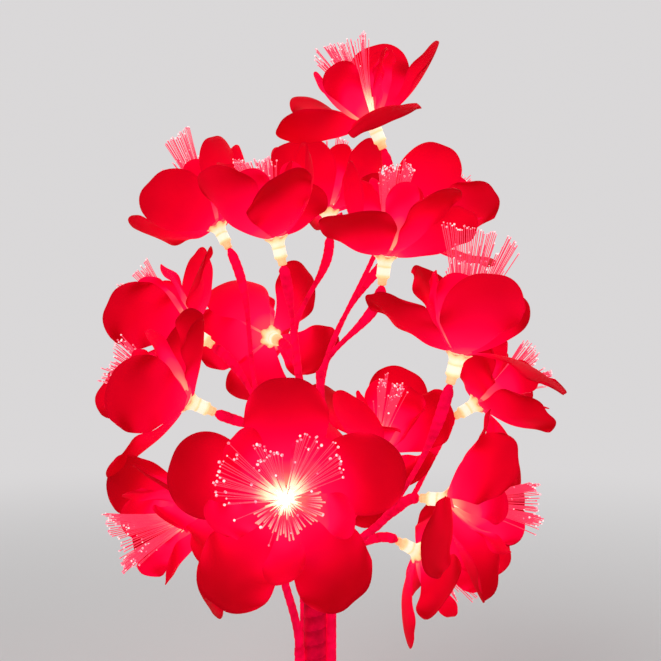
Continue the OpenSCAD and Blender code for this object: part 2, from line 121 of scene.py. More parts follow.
# Petal layers: length, width, moulded radius, turn about the length, radius and height of the hub disc,
# and rows, columns and brightness of a petal. The tip's arc is half the angle that its rounded end spans
Layer = namedtuple("Layer", "length width cup turn hub height rows columns gain")
OUTER = Layer(0.056, 0.042, 0.050, 16, 0.0068, 0.00215, 24, 18, 1.0)
INNER = Layer(0.042, 0.022, 0.042, 24, 0.0052, 0.0012, 18, 12, 1.35)
TIP_ARC = math.radians(62)

# Forks of the branches, in steps from the trunk top
FORKS = {
    "left": (-0.6, 0.17, 1.67),
    "middle": (-0.22, 0.17, 2.33),
    "top": (0.05, -0.27, 1.92),
    "right": (0.7, -0.4, 0.55),
    "back": (0.17, 0.5, -0.12),
    "front": (-0.3, -0.42, 0),
}

# Flowers: branch, seat in steps from the trunk top, tilt from upright, heading, extra opening, start on the
# branch stem, bow of the flower stem in steps, turn about its own axis, further opening of each outer petal
# and length of its fibres
Flower = namedtuple("Flower", "number branch seat tilt heading opening start bow spin openings reach")
FLOWERS = [Flower(*row) for row in (
    (1, "left", (-1.07, 0.75, 3.45), 28, 170, 0, 0.98, (0, 0, 0), 0, (24, 20, 0, 0, 32), 0.062),
    (2, "left", (-1.3, 0.42, 2.32), 55, 175, 0, 0.9, (0, 0, 0), 0, (26, 0, 32, 20, 0), 0.050),
    (3, "left", (-1.17, -0.67, 1.67), 65, 195, 0, 0.73, (0, 0, 0), 0, (26, 0, 38, 26, 0), 0.050),
    (4, "middle", (-0.37, -0.3, 3.22), 15, 210, -5, 0.98, (0, 0, 0), 0, (0, 12, 0, 26, 0), 0.046),
    (5, "middle", (0.13, 0.9, 3.62), 15, 100, 4, 0.97, (0, 0, 0), 0, (38, 0, 20, 14, 0), 0.050),
    (6, "middle", (-0.5, 0.87, 2.25), 80, 115, 0, 0.8, (0, 0, 0), 0, (20, 0, 0, 26, 32), 0.048),
    (7, "top", (0.57, -0.08, 4.38), 25, 200, 0, 0.9, (0, 0.43, 0), 0, (38, 66, 26, 0, 14), 0.050),
    (8, "top", (0.67, -0.57, 3.02), 10, -50, -8, 0.98, (0, 0, 0), 0, (0, 26, 0, 0, 32), 0.050),
    (9, "top", (1.03, 0.53, 3.35), 45, 15, -4, 0.95, (0, 0, 0), 0, (26, 0, 0, 6, 0), 0.050),
    (10, "right", (1.27, -1.17, 2.12), 15, -20, 0, 0.98, (0, 0, 0), 0, (66, 0, 0, 32, 0), 0.062),
    (11, "right", (1.7, 0.5, 1.55), 60, 5, 0, 0.97, (0.07, -0.1, -0.23), 0, (60, 0, 20, 38, 26), 0.050),
    (12, "right", (1.27, -0.53, 0.72), 90, -20, 0, 0.9, (0, 0, 0), 0, (32, 0, 26, 0, 60), 0.052),
    (13, "back", (1.08, 0.5, -0.02), 120, 20, 0, 0.9, (0, 0, 0), 0, (32, 0, 20, 0, 60), 0.046),
    (14, "back", (0.65, 0.47, 1.08), 35, -75, -8, 0.98, (0, 0, 0), 0, (26, 0, 32, 32, 0), 0.050),
    (15, "back", (-0.03, 1.07, 0.58), 85, 95, 0, 0.95, (0, 0, 0), 0, (32, 0, 26, 0, 38), 0.046),
    (16, "front", (-0.2, -1.75, 0.95), 80, -93, 22, 0.98, (0, 0, 0), 36, (16, 12, 20, 14, 18), 0.046),
    (17, "front", (-1, -0.83, 0.67), 105, 215, 0, 0.95, (0, 0, 0), 0, (32, 26, 0, 0, 20), 0.052),
)]

# Outer petals that are folded along their midrib, which makes their tips pointed, as (flower, petal)
FOLDED = {(1, 4), (3, 2), (5, 0), (11, 0), (12, 0), (17, 1)}

# Outer petals that pass close to another branch when it bends, and one that shows its edge. They keep to
# their mould or inside it
CLOSE = {(1, 1), (1, 2), (1, 3), (2, 3), (4, 2), (4, 4), (5, 1), (5, 2), (5, 3), (5, 4), (6, 2), (7, 0),
         (8, 3), (9, 2), (9, 3), (13, 0), (14, 4)}

# The photograph's frame: its side in pixels, its focal length in pixels, and the camera's place
PHOTO_PX = 661
FOCAL_PX = 916.7
CAMERA_AT = Vector((0.0093, -0.55, 0.304))
SENSOR_MM = 36

# The stage: pale surround, floor, where its fade starts and ends, and each lamp's place, size and power
SURROUND = (0.70, 0.685, 0.69, 1)
FLOOR_COLOUR = (0.78, 0.77, 0.77, 1)
FLOOR_R = 6.0
FADE_FROM, FADE_TO = 0.35, 1.6
SKY_LIGHT = 0.32
LAMPS_AIM = Vector((0, 0, 0.28))
LAMPS = {
    "key": ((-0.9, -1.3, 1.5), 1.2, 16),
    "fill": ((1.4, -0.8, 0.9), 1.2, 6),
    "rim": ((0.4, 1.5, 1.4), 1.0, 8),
}


# Places and curves of the crown

def crown_point(steps):
    """Point given in steps from the trunk top."""
    return Vector((0, 0, TRUNK_TOP)) + STEP * Vector(steps)


def flower_frame(flower):
    """Frame of a flower: the petal seat at its origin, the light along its +Z."""
    return (Matrix.Translation(crown_point(flower.seat))
            @ Matrix.Rotation(math.radians(flower.heading), 4, "Z")
            @ Matrix.Rotation(math.radians(flower.tilt), 4, "Y"))


def is_open(flower):
    """Whether a flower is wide open rather than cupped."""
    return flower.opening >= OPEN_FLOWER


def facing(flower):
    """Direction in which a flower shines."""
    return flower_frame(flower).col[2].xyz


def pivot(branch):
    """Point about which a branch bends."""
    return next(Vector(j["pos_m"]) for j in frame["joints"] if j["name"] == "bend_" + branch)


def bezier(points, t):
    while len(points) > 1:
        points = [a.lerp(b, t) for a, b in zip(points, points[1:])]
    return points[0]


def bezier_path(points, count, first=0.0, last=1.0):
    return [bezier(points, first + (last - first) * i / count) for i in range(count + 1)]


def stem_curve(branch):
    """Control points of a branch's stem: upright at its root, then out to its fork."""
    foot, fork = pivot(branch), crown_point(FORKS[branch])
    span = (fork - foot).length
    return [foot, foot + Vector((0, 0, 0.4 * span)), fork - 0.35 * (fork - foot), fork]


def sprig_curve(flower):
    """Control points of a flower's own stem, from the branch to the tail of its holder."""
    stem = stem_curve(flower.branch)
    start = bezier(stem, flower.start)
    along = (bezier(stem, flower.start + 0.01) - bezier(stem, flower.start - 0.01)).normalized()
    end = crown_point(flower.seat) - (HOLDER_LEN + 0.0006) * facing(flower)
    span = (end - start).length
    bow = STEP * Vector(flower.bow)
    out = (along + (end - start).normalized()).normalized()
    return [start, start + 0.35 * span * out + bow, end - 0.35 * span * facing(flower) + bow, end]


def smooth_step(low, high, x):
    t = min(1.0, max(0.0, (x - low) / (high - low)))
    return t * t * (3 - 2 * t)


# Node trees

def add(tree, kind, inputs=None, **settings):
    """Adds a node. Each input is a value, or a socket to link to it."""
    made = tree.nodes.new(kind)
    for name, value in settings.items():
        setattr(made, name, value)
    for name, value in (inputs or {}).items():
        if isinstance(value, bpy.types.NodeSocket):
            tree.links.new(value, made.inputs[name])
        else:
            made.inputs[name].default_value = value
    return made


def surface(name, roughness, specular=0.3, **sockets):
    """A material with one Principled shader. Returns the material, its tree and the shader."""
    made = bpy.data.materials.new(name)
    made.use_nodes = True
    tree = made.node_tree
    shader = next(n for n in tree.nodes if n.type == "BSDF_PRINCIPLED")
    shader.inputs["Roughness"].default_value = roughness
    shader.inputs["Specular IOR Level"].default_value = specular
    for socket, value in sockets.items():
        shader.inputs[socket.replace("_", " ")].default_value = value
    return made, tree, shader


def object_place(tree):
    return add(tree, "ShaderNodeTexCoord").outputs["Object"]


def ramp(tree, factor, *stops):
    """Colour ramp through (position, (r, g, b)) stops."""
    made = add(tree, "ShaderNodeValToRGB", {"Fac": factor})
    elements = made.color_ramp.elements
    while len(elements) < len(stops):
        elements.new(1.0)
    for element, (position, colour) in zip(elements, stops):
        element.position = position
        element.color = (*colour, 1)
    return made.outputs["Color"]


def noise(tree, place, scale, detail=3.0, roughness=0.5):
    return add(tree, "ShaderNodeTexNoise", {"Vector": place, "Scale": scale, "Detail": detail,
                                            "Roughness": roughness}).outputs["Fac"]


def bump(tree, shader, height, strength, distance):
    made = add(tree, "ShaderNodeBump", {"Height": height, "Strength": strength, "Distance": distance})
    tree.links.new(made.outputs["Normal"], shader.inputs["Normal"])


def attribute(tree, name):
    return add(tree, "ShaderNodeAttribute", attribute_name=name).outputs["Fac"]


def link(tree, out, shader, socket):
    tree.links.new(out, shader.inputs[socket])


# Finishes

def petal_fabric():
    """Stiffened translucent organza: fine weave, soft streaks and a glow that fades from the diode."""
    made, tree, shader = surface("petal_fabric", 0.65, 0.03, Emission_Strength=0.88)
    cut = add(tree, "ShaderNodeUVMap", uv_map="UVMap").outputs["UV"]
    parts = add(tree, "ShaderNodeSeparateXYZ", {"Vector": cut})
    fan = add(tree, "ShaderNodeMath", {0: parts.outputs["X"], 1: parts.outputs["Y"]}, operation="DIVIDE")
    across = add(tree, "ShaderNodeMath", {0: fan.outputs[0], 1: 17.0}, operation="MULTIPLY")
    along = add(tree, "ShaderNodeMath", {0: parts.outputs["Y"], 1: 2.4}, operation="MULTIPLY")
    streak_at = add(tree, "ShaderNodeCombineXYZ", {"X": across.outputs[0], "Y": along.outputs[0]})
    streaks = noise(tree, streak_at.outputs[0], 1.0, 3.0, 0.55)
    cloud = noise(tree, object_place(tree), 38.0, 2.0)
    shade = add(tree, "ShaderNodeMath", {0: streaks, 1: cloud}, operation="MULTIPLY")
    link(tree, ramp(tree, shade.outputs[0], (0.1, (0.26, 0.0, 0.004)), (0.3, (0.46, 0.0, 0.010)),
                    (0.55, (0.62, 0.0, 0.022))), shader, "Base Color")
    light = attribute(tree, "glow")
    near = add(tree, "ShaderNodeMath", {0: light, 1: 2.5}, operation="POWER")
    depth = add(tree, "ShaderNodeMath", {0: near.outputs[0], 1: 0.55, 2: 0.12}, operation="MULTIPLY_ADD")
    # Painted light: the streaks make the glow uneven, more so near the diode.
    ripple = add(tree, "ShaderNodeMath", {0: streaks, 1: 0.5}, operation="SUBTRACT")
    uneven = add(tree, "ShaderNodeMath", {0: ripple.outputs[0], 1: depth.outputs[0], 2: light},
                 operation="MULTIPLY_ADD")
    heat = add(tree, "ShaderNodeMath", {0: uneven.outputs[0], 1: 0.7}, operation="MULTIPLY")
    link(tree, ramp(tree, heat.outputs[0], (0.05, (0.06, 0.0, 0.001)), (0.14, (0.30, 0.0, 0.006)),
                    (0.24, (0.68, 0.0, 0.024)), (0.38, (1.0, 0.0, 0.070)), (0.58, (1.0, 0.012, 0.15)),
                    (0.72, (1.0, 0.12, 0.20)), (0.95, (1.0, 0.72, 0.42))),
         shader, "Emission Color")
    warp = add(tree, "ShaderNodeTexWave", {"Vector": cut, "Scale": 36.0}, bands_direction="X")
    weft = add(tree, "ShaderNodeTexWave", {"Vector": cut, "Scale": 36.0}, bands_direction="Y")
    weave = add(tree, "ShaderNodeMath", {0: warp.outputs["Fac"], 1: weft.outputs["Fac"]},
                operation="MULTIPLY")
    bump(tree, shader, weave.outputs[0], 0.2, 0.0001)
    through = add(tree, "ShaderNodeBsdfTranslucent", {"Color": (0.9, 0.0, 0.04, 1)})
    both = add(tree, "ShaderNodeMixShader", {0: 0.4, 1: shader.outputs[0], 2: through.outputs[0]})
    out = next(n for n in tree.nodes if n.type == "OUTPUT_MATERIAL")
    tree.links.new(both.outputs[0], out.inputs["Surface"])
    return made


def crepe_tape(name, dark, light, glow, lap):
    """Crepe tape: fine cross crinkles, patches where it was stretched, and shade under each lap's edge."""
    made, tree, shader = surface(name, 0.75, 0.05, Emission_Strength=glow)
    place = object_place(tree)
    patches = noise(tree, place, 160.0, 4.0)
    shaded = add(tree, "ShaderNodeMath", {0: attribute(tree, "lap"), 1: -lap, 2: patches},
                 operation="MULTIPLY_ADD")
    colour = ramp(tree, shaded.outputs[0], (0.05, tuple(c * 0.72 for c in dark)), (0.3, dark), (0.65, light))
    link(tree, colour, shader, "Base Color")
    # The tape's colour also glows, at the given strength: painted light from the lit blossoms.
    link(tree, colour, shader, "Emission Color")
    crinkle = noise(tree, place, 900.0, 3.0, 0.65)
    bump(tree, shader, crinkle, 0.35, 0.0002)
    return made


def lit_holder():
    """Translucent cream holder, white-hot where the diode sits and amber towards its thin edges."""
    made, tree, shader = surface("holder_plastic", 0.35, 0.3, Emission_Strength=0.85)
    cloud = noise(tree, object_place(tree), 500.0, 2.0)
    heat = add(tree, "ShaderNodeMath", {0: attribute(tree, "lit"), 1: 0.9}, operation="MULTIPLY")
    uneven = add(tree, "ShaderNodeMath", {0: cloud, 1: 0.16, 2: heat.outputs[0]}, operation="MULTIPLY_ADD")
    colour = ramp(tree, uneven.outputs[0], (0.2, (0.42, 0.10, 0.05)), (0.45, (0.78, 0.40, 0.13)),
                  (0.7, (1.0, 0.72, 0.30)), (0.95, (1.0, 0.96, 0.74)))
    link(tree, colour, shader, "Emission Color")
    shader.inputs["Base Color"].default_value = (0.55, 0.46, 0.33, 1)
    bump(tree, shader, cloud, 0.1, 0.0002)
    return made


def lit_fibre():
    """Clear optical fibre: lit at its root, red along its length from the petals round it."""
    made, tree, shader = surface("fibre_plastic", 0.3, 0.15, Emission_Strength=0.9)
    grain = noise(tree, object_place(tree), 700.0, 2.0)
    shade = add(tree, "ShaderNodeMath", {0: grain, 1: 0.12, 2: attribute(tree, "lit")},
                operation="MULTIPLY_ADD")
    colour = ramp(tree, shade.outputs[0], (0.05, (0.86, 0.035, 0.10)), (0.45, (1.0, 0.10, 0.16)),
                  (0.75, (1.0, 0.46, 0.28)), (1.0, (1.0, 0.92, 0.62)))
    link(tree, colour, shader, "Emission Color")
    link(tree, ramp(tree, shade.outputs[0], (0.0, (0.45, 0.0, 0.04)), (1.0, (0.8, 0.5, 0.4))),
         shader, "Base Color")
    return made


def lit_tip():
    """Fibre ends: some bright white, most of them pink."""
    made, tree, shader = surface("fibre_tip", 0.3, 0.25, Emission_Strength=0.95)
    sparkle = noise(tree, object_place(tree), 420.0, 1.0)
    colour = ramp(tree, sparkle, (0.38, (0.9, 0.05, 0.14)), (0.5, (1.0, 0.30, 0.38)),
                  (0.62, (1.0, 0.86, 0.82)))
    link(tree, colour, shader, "Emission Color")
    shader.inputs["Base Color"].default_value = (0.6, 0.2, 0.25, 1)
    return made


def lit_diode():
    """Diode lens, white-hot."""
    made, tree, shader = surface("diode_lens", 0.15, 0.5, Emission_Strength=12.0)
    core = noise(tree, object_place(tree), 300.0, 1.0)
    link(tree, ramp(tree, core, (0.3, (1.0, 0.86, 0.55)), (0.6, (1.0, 0.97, 0.86))), shader, "Emission Color")
    shader.inputs["Base Color"].default_value = (0.9, 0.85, 0.7, 1)
    return made


def moulded(name, colour, roughness, grain, depth, specular=0.4):
    """Moulded plastic or rubber with a fine grain and slight unevenness of colour."""
    made, tree, shader = surface(name, roughness, specular)
    place = object_place(tree)
    tone = noise(tree, place, 14.0, 3.0)
    low = tuple(c * 0.8 for c in colour)
    high = tuple(min(1.0, c * 1.25 + 0.003) for c in colour)
    link(tree, ramp(tree, tone, (0.3, low), (0.7, high)), shader, "Base Color")
    bump(tree, shader, noise(tree, place, grain, 2.0), 0.3, depth)
    return made


def metal(name, colour, roughness, scale):
    """Plated or cast metal with fine scratches."""
    made, tree, shader = surface(name, roughness, 0.5, Metallic=1.0)
    place = object_place(tree)
    tone = noise(tree, place, scale, 4.0)
    link(tree, ramp(tree, tone, (0.3, tuple(c * 0.75 for c in colour)), (0.7, colour)), shader, "Base Color")
    rough = add(tree, "ShaderNodeMapRange", {"Value": tone, "To Min": roughness - 0.08,
                                             "To Max": roughness + 0.12})
    link(tree, rough.outputs[0], shader, "Roughness")
    bump(tree, shader, noise(tree, place, scale * 6, 2.0), 0.2, 0.0001)
    return made


# Mesh tools

def piece(bm, name, finishes, body):
    """Makes an object of a mesh, smooth shaded, in place, and rides it on a body unless body is None."""
    mesh = bpy.data.meshes.new(name)
    bm.to_mesh(mesh)
    bm.free()
    for finish in finishes:
        mesh.materials.append(finish)
    mesh.polygons.foreach_set("use_smooth", [True] * len(mesh.polygons))
    made = bpy.data.objects.new(name, mesh)
    scene.collection.objects.link(made)
    if body:
        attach(made, body)
    return made


def ring_frames(path):
    """A frame at each point of a path, its Z along the path, with as little turning as possible."""
    aims = [(b - a).normalized() for a, b in zip(path, path[1:])]
    aims = [aims[0]] + [(a + b).normalized() for a, b in zip(aims, aims[1:])] + [aims[-1]]
    turn = Vector((0, 0, 1)).rotation_difference(aims[0])
    frames = []
    for i, (point, aim) in enumerate(zip(path, aims)):
        if i:
            turn = aims[i - 1].rotation_difference(aim) @ turn
        frames.append(Matrix.Translation(point) @ turn.to_matrix().to_4x4())
    return frames


def rim_edges(ring):
    members = set(ring)
    return list({e for v in ring for e in v.link_edges if e.other_vert(v) in members})


def taped_mesh():
    """Empty mesh whose vertices keep how near they are to the edge of a lap of tape."""
    bm = bmesh.new()
    bm.verts.layers.float.new("lap")
    return bm


def sweep(bm, path, radii, sides):
    """Closed round tube along a path: a circle extruded from frame to frame. Returns its rings and frames."""
    frames = ring_frames(path)
    places = [f @ Matrix.Diagonal((r, r, r, 1)) for f, r in zip(frames, radii)]
    ring = bmesh.ops.create_circle(bm, segments=sides, radius=1.0, cap_ends=True, matrix=places[0])["verts"]
    rings = [ring]
    edges = rim_edges(ring)
    for before, after in zip(places, places[1:]):
        made = bmesh.ops.extrude_edge_only(bm, edges=edges)["geom"]
        ring = [g for g in made if isinstance(g, bmesh.types.BMVert)]
        edges = [g for g in made if isinstance(g, bmesh.types.BMEdge) and all(v in ring for v in g.verts)]
        bmesh.ops.transform(bm, matrix=after @ before.inverted(), verts=ring)
        rings.append(ring)
    bmesh.ops.edgeloop_fill(bm, edges=edges)
    return rings, frames


def wind_tape(bm, rings, frames, pitch, depth):
    """Raises a tube's skin into an overlapping spiral of tape: thickest at the lap, thinning to the next."""
    edge = bm.verts.layers.float["lap"]
    along = 0.0
    for i, (ring, place) in enumerate(zip(rings, frames)):
        if i:
            along += (place.translation - frames[i - 1].translation).length
        back = place.inverted()
        for v in ring:
            local = back @ v.co
            lap = (along / pitch - math.atan2(local.y, local.x) / math.tau) % 1.0
            local *= 1 + depth * (1 - lap) / max(local.xy.length, TINY)
            v.co = place @ local
            v[edge] = smooth_step(0.35, 1.0, lap)


def press_flat(rings, frames, shares):
    """Presses a tube flat by a share at each ring, with its broad side to the front."""
    for ring, place, share in zip(rings, frames, shares):
        aim = place.col[2].xyz
        side = aim.cross(Vector((0, 1, 0))).normalized()
        front = side.cross(aim)
        for v in ring:
            off = v.co - place.translation
            v.co += 0.45 * share * off.dot(side) * side - 0.3 * share * off.dot(front) * front


def finish_normals(bm):
    bmesh.ops.recalc_face_normals(bm, faces=bm.faces[:])


def spun(bm, profile, steps, place):
    """Turned shape from a half profile of (radius, height) points, set in a frame. Returns its vertices."""
    before = set(bm.verts)
    points = [bm.verts.new((r, 0, z)) for r, z in profile]
    edges = [bm.edges.new(pair) for pair in zip(points, points[1:])]
    bmesh.ops.spin(bm, geom=points + edges, cent=(0, 0, 0), axis=(0, 0, 1), angle=math.tau, steps=steps,
                   use_merge=True)
    bmesh.ops.remove_doubles(bm, verts=[v for v in bm.verts if v not in before], dist=TINY)
    made = [v for v in bm.verts if v not in before]
    bmesh.ops.transform(bm, matrix=place, verts=made)
    return made


# Petals

def cut_side(u, layer):
    """Half outline of a flat petal, from its claw, u = 0, round to the shoulder of its tip, u = 1."""
    r = layer.width / 2
    mid = layer.length - r
    slope = math.asin(r / math.hypot(mid, CLAW)) - math.atan(CLAW / mid)
    touch = (mid - r * math.sin(slope), r * math.cos(slope))
    flank = math.hypot(touch[0], touch[1] - CLAW)
    start = math.pi / 2 + slope
    run = u * (flank + r * (start - TIP_ARC))
    if run < flank:
        share = run / flank
        return Vector((touch[0] * share, CLAW + (touch[1] - CLAW) * share))
    angle = start - (run - flank) / r
    return Vector((mid + r * math.cos(angle), r * math.sin(angle)))


def cut_point(u, s, layer):
    """Point of a flat petal, u along it and s across it, both 0 to 1, filled in between its four edges."""
    r = layer.width / 2
    side = cut_side(u, layer)
    left, right = Vector((side.x, -side.y)), side
    angle = (2 * s - 1) * TIP_ARC
    tip = Vector((layer.length - r + r * math.cos(angle), r * math.sin(angle)))
    claw = Vector((0, CLAW * (2 * s - 1)))
    shoulder = cut_side(1, layer)
    low = Vector((0, CLAW)) * (2 * s - 1)
    high = Vector((shoulder.x, shoulder.y * (2 * s - 1)))
    return left.lerp(right, s) + claw.lerp(tip, u) - low.lerp(high, u)


def moulded_radius(layer, rise):
    """Radius of the sphere that a petal is a patch of: a wide open petal is flatter."""
    if rise < BACK_BELOW:
        return layer.cup
    return max(layer.cup, layer.length / 2 / math.sin(math.radians(rise - LEAST_SLOPE)))


def petal_habit(rng, size, folded):
    """How one petal departs from its mould, so that no two are alike."""
    return {
        "curl": rng.uniform(0.001, 0.006) * size,
        "roll": rng.uniform(-0.001, 0.0042) * size,
        "ruffle": rng.uniform(0.0006, 0.0024) * size,
        "waves": rng.uniform(1.4, 3.0),
        "phase": rng.uniform(0, math.tau),
        "notch": rng.uniform(0.0, 0.0035) * size ** 3,
        "skew": rng.uniform(-0.0025, 0.0025) * size,
        "fold": math.radians(rng.uniform(38, 52) if folded else rng.uniform(-4, 12)),
        "bright": rng.uniform(0.82, 1.12),
        "bend": math.radians(rng.choice((0, 12, 28, 42))) * (not folded),
        "bend_from": rng.uniform(0.42, 0.6),
        "bend_slant": rng.uniform(-0.4, 0.4),
    }


def held_in(habit):
    """The habit of a petal that has no room behind it: its rim may only come forward."""
    return {**habit, "curl": -0.5 * habit["curl"], "roll": -0.4 * abs(habit["roll"]),
            "ruffle": 0.3 * habit["ruffle"], "skew": 0.0, "bend": 0.0}


def bent_back(x, z, start, angle, run):
    """Bends what lies past start, along x, backwards through an angle, over a run."""
    if x <= start or angle < 0.01:
        return x, z
    past = x - start
    turned = min(past / run, 1.0) * angle
    rest = max(past - run, 0.0)
    radius = run / angle
    return (start + radius * math.sin(turned) + rest * math.cos(turned),
            z - radius * (1 - math.cos(turned)) - rest * math.sin(turned))


def add_petal(bm, layer, rise, heading, lift, habit):
    """Adds one petal in the flower's frame. Returns the area of its flat cut."""
    uv = bm.loops.layers.uv.verify()
    glow = bm.verts.layers.float["glow"]
    radius = moulded_radius(layer, rise)
    sink = math.sqrt(radius ** 2 - layer.length ** 2 / 4)
    turn = 180 if rise < BACK_BELOW else layer.turn
    place = (Matrix.Rotation(heading, 4, "Z")
             @ Matrix.Translation((CLAW_R, 0, PETAL_T / 2 + lift))
             @ Matrix.Rotation(-math.radians(rise), 4, "Y")
             @ Matrix.Translation((layer.length / 2, 0, 0))
             @ Matrix.Rotation(math.radians(turn), 4, "X"))
    grid = bmesh.ops.create_grid(bm, x_segments=layer.rows, y_segments=layer.columns, size=0.5)["verts"]
    shares = {v: (v.co.x + 0.5, v.co.y + 0.5) for v in grid}
    flat = {v: cut_point(*shares[v], layer) for v in grid}
    for v in grid:
        v.co = (*flat[v], 0)
    faces = {f for v in grid for f in v.link_faces}
    area = sum(f.calc_area() for f in faces)
    for f in faces:
        for corner in f.loops:
            x, y = flat[corner.vert]
            corner[uv].uv = (y / OUTER.length, x / OUTER.length + 0.1)
    crease = CREASE * layer.width
    for v in grid:
        u, s = shares[v]
        across = 2 * s - 1
        tip = smooth_step(TIP_FROM, TIP_TO, u)
        x, y = flat[v]
        edge = y / (layer.width / 2)
        x -= layer.length / 2
        z = sink - math.sqrt(radius ** 2 - x * x - y * y)
        z -= habit["curl"] * tip ** 2 + habit["roll"] * edge ** 4
        z += habit["ruffle"] * edge ** 2 * math.sin(math.tau * habit["waves"] * u + habit["phase"])
        fold = habit["fold"] * smooth_step(0.0, 0.55, u)
        z += (math.hypot(y, crease) - crease) * math.sin(fold)
        y = y * math.cos(fold) + habit["skew"] * tip
        x -= habit["notch"] * tip * math.exp(-(across / NOTCH_WIDE) ** 2)
        if rise >= BACK_BELOW:
            start = layer.length * (habit["bend_from"] - 0.5) + habit["bend_slant"] * y
            x, z = bent_back(x, z, start, habit["bend"], BEND_RUN * layer.length)
        v.co = place @ Vector((x, y, z))
    for f in faces:
        f.normal_update()
    for v in grid:
        v.normal_update()
        to_light = Vector((0, 0, FERRULE_TOP)) - v.co
        faced = smooth_step(0.0, FULLY_FACING, abs(v.normal.dot(to_light.normalized())))
        caught = EDGE_ON_LIGHT + (1 - EDGE_ON_LIGHT) * faced
        v[glow] = habit["bright"] * caught / (1 + (to_light.length / HALF_LIGHT) ** 2)
    return area


def make_hubs(flower, finish):
    """Two discs on the holder's neck, to which the petals are glued."""
    bm = bmesh.new()
    glow = bm.verts.layers.float.new("glow")
    for layer, lift in ((OUTER, 0.0), (INNER, INNER_SEAT)):
        soft = 0.0003
        profile = [(HUB_IN, 0), (layer.hub - soft, 0), (layer.hub, soft), (layer.hub, layer.height - soft),
                   (layer.hub - soft, layer.height), (HUB_IN, layer.height), (HUB_IN, 0)]
        for v in spun(bm, profile, 24, Matrix.Translation((0, 0, lift))):
            v[glow] = 1.0
    bmesh.ops.transform(bm, matrix=flower_frame(flower), verts=bm.verts[:])
    finish_normals(bm)
    bm.loops.layers.uv.verify()
    return piece(bm, "petal_hubs_%02d" % flower.number, [finish], "branch_" + flower.branch)


def make_blossom(flower, finish):
    """The two layers of cloth petals of a flower, on their hubs."""
    rise = PETAL_RISE - flower.opening
    rng = random.Random(flower.number)
    hubs = make_hubs(flower, finish)
    spin = math.radians(flower.spin)
    rows = (("outer", OUTER, [rise - more for more in flower.openings], 0.0, spin),
            ("inner", INNER, [rise + INNER_STEEPER] * PETALS, INNER_SEAT, spin + math.pi / PETALS))
    for word, layer, rises, lift, first in rows:
        bm = bmesh.new()
        bm.verts.layers.float.new("glow")
        area = 0.0
        shine = CUPPED_GLOW
        if is_open(flower):
            shine = OPEN_GLOW if word == "outer" else 1.0
        for k in range(PETALS):
            folded = word == "outer" and (flower.number, k) in FOLDED
            habit = petal_habit(rng, layer.length / OUTER.length, folded)
            if word == "outer" and (flower.number, k) in CLOSE:
                habit = held_in(habit)
            habit["bright"] *= layer.gain * shine
            if is_open(flower):
                habit["bend"] *= OPEN_BEND
            area += add_petal(bm, layer, rises[k], first + math.tau * k / PETALS, lift, habit)
        bmesh.ops.transform(bm, matrix=flower_frame(flower), verts=bm.verts[:])
        made = piece(bm, "petals_%02d_%s" % (flower.number, word), [finish], "branch_" + flower.branch)
        shell = made.modifiers.new("cloth", "SOLIDIFY")
        shell.thickness = PETAL_T * 0.8
        shell.offset = 0
        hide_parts("blossom_%02d" % flower.number)


# Stems

def make_stem(branch, finish):
    """Taped branch stem with its flower stems, their sleeves and the bare wires at each holder."""
    bm = taped_mesh()
    curve = stem_curve(branch)
    count = max(24, round((curve[3] - curve[0]).length / 0.0012))
    path = bezier_path(curve, count)
    radii = [STEM_R - 0.0003 + (FORK_R - STEM_R + 0.0003) * i / count for i in range(count + 1)]
    for i in range(4):
        radii[i] = STEM_R * (0.62, 0.88, 0.97, 0.98)[i]
    rings, frames = sweep(bm, path, radii, 16)
    wind_tape(bm, rings[3:], frames[3:], *STEM_LAP)
    for flower in FLOWERS:
        if flower.branch != branch:
            continue
        curve = sprig_curve(flower)
        span = 1.08 * (curve[3] - curve[0]).length
        count = max(30, round(span / 0.0011))
        path = bezier_path(curve, count)
        sleeve_from = max(0.2, 1 - SLEEVE_LEN / span)
        radii = []
        for i in range(count + 1):
            t = i / count
            r = SPRIG_R + 0.0004 * (1 - smooth_step(0.0, 0.12, t))
            r += (SLEEVE_R - SPRIG_R) * smooth_step(sleeve_from - 0.3, sleeve_from + 0.1, t)
            radii.append(r - (SLEEVE_R - SPRIG_R) * smooth_step(0.97, 1.0, t))
        rings, frames = sweep(bm, path, radii, 12)
        wind_tape(bm, rings, frames, *SPRIG_LAP)
        press_flat(rings, frames, [smooth_step(sleeve_from - 0.3, 0.8, i / count)
                                   * (1 - 0.6 * smooth_step(0.94, 1.0, i / count)) for i in range(count + 1)])
        place = flower_frame(flower)
        for side in (-1, 1):
            crimp = [Vector((side * x * MM, 0, z * MM - HOLDER_LEN))
                     for x, z in ((0.6, -1.6), (1.15, -0.7), (0.75, 0.3), (1.0, 1.6))]
            sweep(bm, [place @ p for p in bezier_path(crimp, 8)], [0.00042] * 9, 6)
        plug = [place @ Vector((0, 0, z * MM - HOLDER_LEN)) for z in (-0.8, 1.0, 2.6, 4.2)]
        sweep(bm, plug, [SPRIG_R * 0.94] * 4, 10)
    finish_normals(bm)
    made = piece(bm, "stem_%s_taped" % branch, [finish], "branch_" + branch)
    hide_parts("stem_" + branch)


def make_bend_sleeve(branch, finish):
    """Tape over the root of a branch, which bends with it."""
    curve = stem_curve(branch)
    foot = curve[0]
    on_trunk = foot.xy.length < MM
    low = 0.007 if on_trunk else 0.011
    path = [foot + Vector((0, 0, -low * (1 - i / 10))) for i in range(10)]
    path += bezier_path(curve, 12, 0.0, 0.1)
    wide = 0.0036 if on_trunk else STEM_R + 0.00022
    radii = [wide + (STEM_R + 0.00022 - wide) * smooth_step(0, 9, i) for i in range(len(path))]
    bm = taped_mesh()
    rings, frames = sweep(bm, path, radii, 18)
    wind_tape(bm, rings, frames, *SLEEVE_LAP)
    finish_normals(bm)
    made = piece(bm, "bend_sleeve_" + branch, [finish], None)
    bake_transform(made, "base", "branch_" + branch, start=path[7], end=path[13])


# Lamp holders

